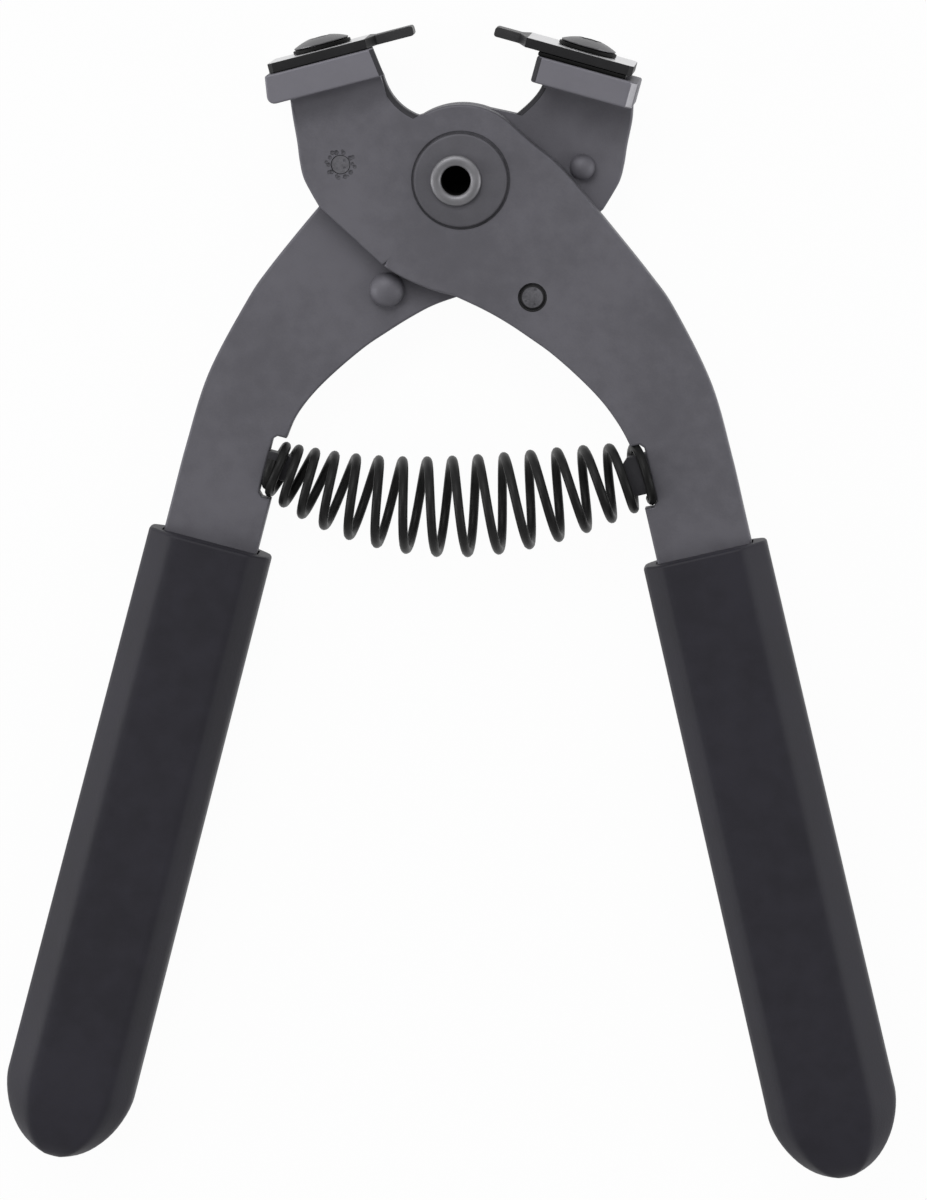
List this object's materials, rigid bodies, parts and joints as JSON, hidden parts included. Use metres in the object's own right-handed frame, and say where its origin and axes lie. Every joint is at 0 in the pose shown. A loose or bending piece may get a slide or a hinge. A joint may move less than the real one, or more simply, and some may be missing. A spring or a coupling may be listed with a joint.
{
  "type": "hand nipper pliers",
  "caption": "Crossed-lever hand tool with a bolted blade on each jaw pad, a bowed return spring between the handles and black slip-on grips",
  "frame": {"origin": "under the middle of the tool's outer box, on the surface that it lies on", "axes": "+Y towards the jaws, +X to the right seen from the front, +Z out of the tool's front face"},
  "size_m": [0.1618, 0.2074, 0.02],
  "materials": {
    "lever_steel": "dark grey satin phosphate",
    "rivet_steel": "grey satin with a rolled rim",
    "blade_steel": "dark hardened steel, bright top face",
    "washer_steel": "black oxide",
    "screw_steel": "dark grey satin",
    "spring_steel": "black oiled",
    "grip_vinyl": "matte black vinyl"
  },
  "bodies": {
    "back_half": {"back_lever": "lever_steel", "right_blade": "blade_steel", "right_screw_washer": "washer_steel", "right_blade_screw": "screw_steel", "left_grip": "grip_vinyl", "back_handle_stop_pin": "lever_steel", "back_jaw_stop_pin": "lever_steel", "back_pivot_washer": "lever_steel", "pivot_rivet": "rivet_steel", "return_spring": "spring_steel"},
    "front_half": {"front_lever": "lever_steel", "left_blade": "blade_steel", "left_screw_washer": "washer_steel", "left_blade_screw": "screw_steel", "right_grip": "grip_vinyl", "front_handle_stop_pin": "lever_steel", "front_jaw_stop_pin": "lever_steel", "front_pivot_washer": "lever_steel"}
  },
  "joints": [
    {"name": "pivot", "type": "hinge", "parent": "back_half", "child": "front_half", "pos_m": [0, 0.07578, 0.01], "axis": [0, 0, -1], "range_deg": [0, 28], "stiffness_Nm_per_rad": 1.3, "springref_deg": -19.48, "deforming": ["return_spring"]}
  ]
}
